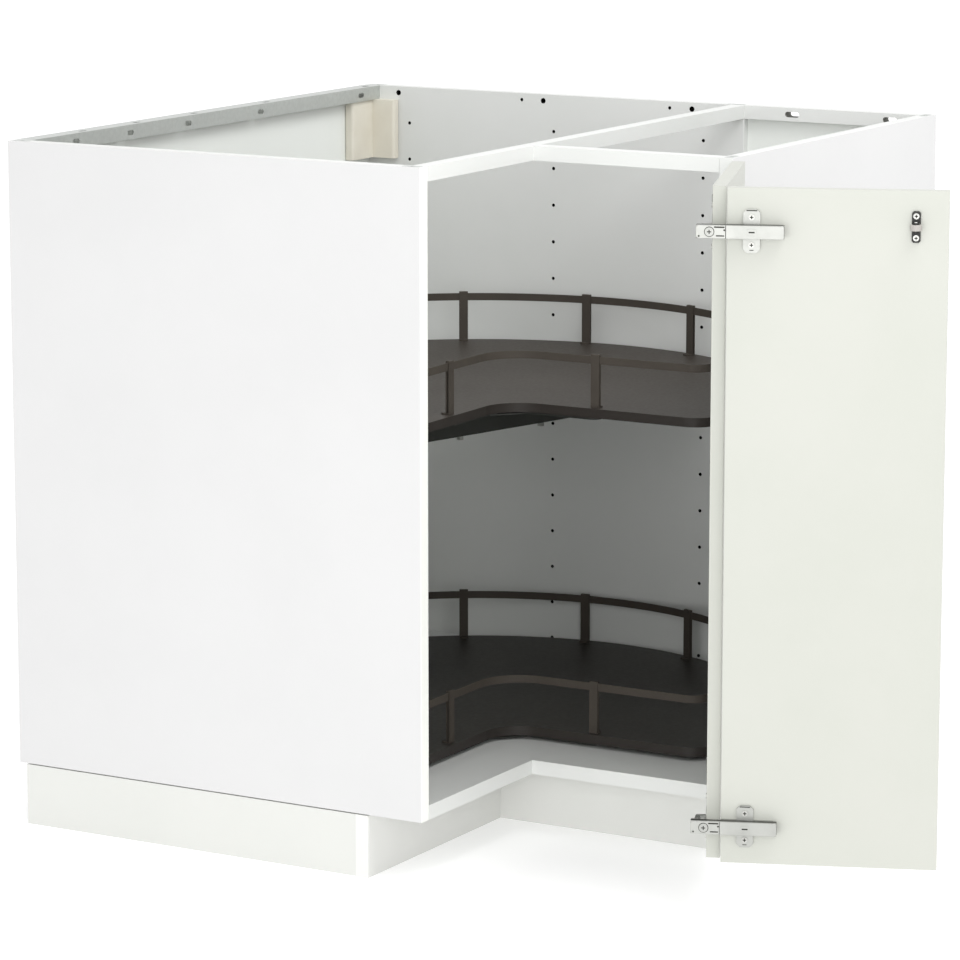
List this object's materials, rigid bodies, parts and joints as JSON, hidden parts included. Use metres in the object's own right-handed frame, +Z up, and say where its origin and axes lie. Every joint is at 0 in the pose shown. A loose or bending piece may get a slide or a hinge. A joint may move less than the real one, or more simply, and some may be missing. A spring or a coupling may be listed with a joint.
{
  "type": "corner base cabinet with turning shelves",
  "caption": "Corner base cabinet, open on top, with round notched shelves that turn on plate bearings and a folding corner door shown open.",
  "frame": {"origin": "centre of the bounding box's base, on the floor, with the doors open", "axes": "+X along the room wall behind the long side, from the corner towards the wing's end panel; -Y out of the corner along the other wall; +Z up"},
  "size_m": [1.2312, 0.8818, 0.88],
  "materials": {
    "white_board": "smooth white laminate on chipboard",
    "back_board": "smooth light grey back board",
    "plinth_board": "smooth light grey laminate",
    "cream_door": "smooth cream laminate",
    "zinc_steel": "galvanised",
    "beige_plastic": "matt",
    "leg_plastic": "matt",
    "nickel": "nickel plated",
    "screw_steel": "zinc plated",
    "black_plastic": "matt",
    "pale_plastic": "matt",
    "dark_steel": "dark powder coat",
    "upper_shelf_brown": "dark brown laminate",
    "lower_shelf_brown": "dark brown laminate",
    "rail_bronze": "dark bronze powder coat"
  },
  "bodies": {
    "cabinet": {"left_end_panel": "white_board", "long_side_panel": "white_board", "right_end_panel": "white_board", "main_front_rail": "white_board", "wing_front_rail": "white_board", "wing_back_rail": "white_board", "main_bottom_panel": "white_board", "wing_bottom_panel": "white_board", "main_back_panel": "back_board", "wing_back_panel": "back_board", "side_plinth": "plinth_board", "front_plinth": "plinth_board", "wing_plinth": "plinth_board", "hanging_rail": "zinc_steel", "rail_corner_fittings": "zinc_steel", "corner_block": "beige_plastic", "leg_sockets": "leg_plastic", "leg_feet": "leg_plastic", "plinth_clips": "leg_plastic", "hinge_a_plates": "nickel", "hinge_a_arms": "nickel", "hinge_a_plate_screws": "screw_steel", "support_beam": "dark_steel", "beam_brackets": "dark_steel", "beam_bolts": "screw_steel", "floor_screws": "screw_steel", "upper_bearing_base": "dark_steel", "lower_bearing_base": "dark_steel"},
    "hinge_first_links": {"hinge_a_first_links": "nickel"},
    "hinge_second_links": {"hinge_a_second_links": "nickel"},
    "carousel_upper": {"upper_shelf_board": "upper_shelf_brown", "upper_guard_rail": "rail_bronze", "upper_posts": "rail_bronze", "upper_carrier": "dark_steel", "upper_spacers": "dark_steel"},
    "carousel_lower": {"lower_shelf_board": "lower_shelf_brown", "lower_guard_rail": "rail_bronze", "lower_posts": "rail_bronze", "lower_carrier": "dark_steel", "lower_spacers": "dark_steel"},
    "door_a": {"door_a_panel": "cream_door", "hinge_a_cups": "nickel", "hinge_b_cups": "nickel", "hinge_cup_screws": "screw_steel", "hinge_b_links": "nickel"},
    "door_b": {"door_b_panel": "cream_door", "hinge_b_plates": "nickel", "hinge_b_arms": "nickel", "hinge_b_screws": "screw_steel", "catch_plate": "black_plastic", "catch_screws": "screw_steel"},
    "catch_wheel": {"catch_roller": "pale_plastic"}
  },
  "joints": [
    {"name": "upper_turn", "type": "hinge", "parent": "cabinet", "child": "carousel_upper", "pos_m": [-0.20063, 0.02586, 0.525], "axis": [0, 0, 1], "range_deg": [-360, 360]},
    {"name": "lower_turn", "type": "hinge", "parent": "cabinet", "child": "carousel_lower", "pos_m": [-0.20063, 0.02586, 0.101], "axis": [0, 0, 1], "range_deg": [-360, 360]},
    {"name": "first_link_turn", "type": "hinge", "parent": "cabinet", "child": "hinge_first_links", "pos_m": [0.23452, -0.15789, 0.48], "axis": [0, 0, 1], "range_deg": [-144.04, 0]},
    {"name": "second_link_turn", "type": "hinge", "parent": "door_a", "child": "hinge_second_links", "pos_m": [0.2778, -0.19269, 0.48], "axis": [0, 0, 1], "range_deg": [0, 86.58]},
    {"name": "door_a_swing", "type": "hinge", "parent": "cabinet", "child": "door_a", "pos_m": [0.26367, -0.16344, 0.48], "axis": [0, 0, 1], "range_deg": [-111.7, 0]},
    {"name": "door_b_fold", "type": "hinge", "parent": "door_a", "child": "door_b", "pos_m": [0.35635, -0.43093, 0.48], "axis": [0, 0, -1], "range_deg": [0, 60]},
    {"name": "roller_spin", "type": "hinge", "parent": "door_b", "child": "catch_wheel", "pos_m": [0.58463, -0.34331, 0.837], "axis": [0, 0, 1], "continuous": true}
  ],
  "couplings": [
    {"joint": "first_link_turn", "follows": "door_a_swing", "ratio": 1.2895},
    {"joint": "second_link_turn", "follows": "door_a_swing", "ratio": -0.7751}
  ]
}
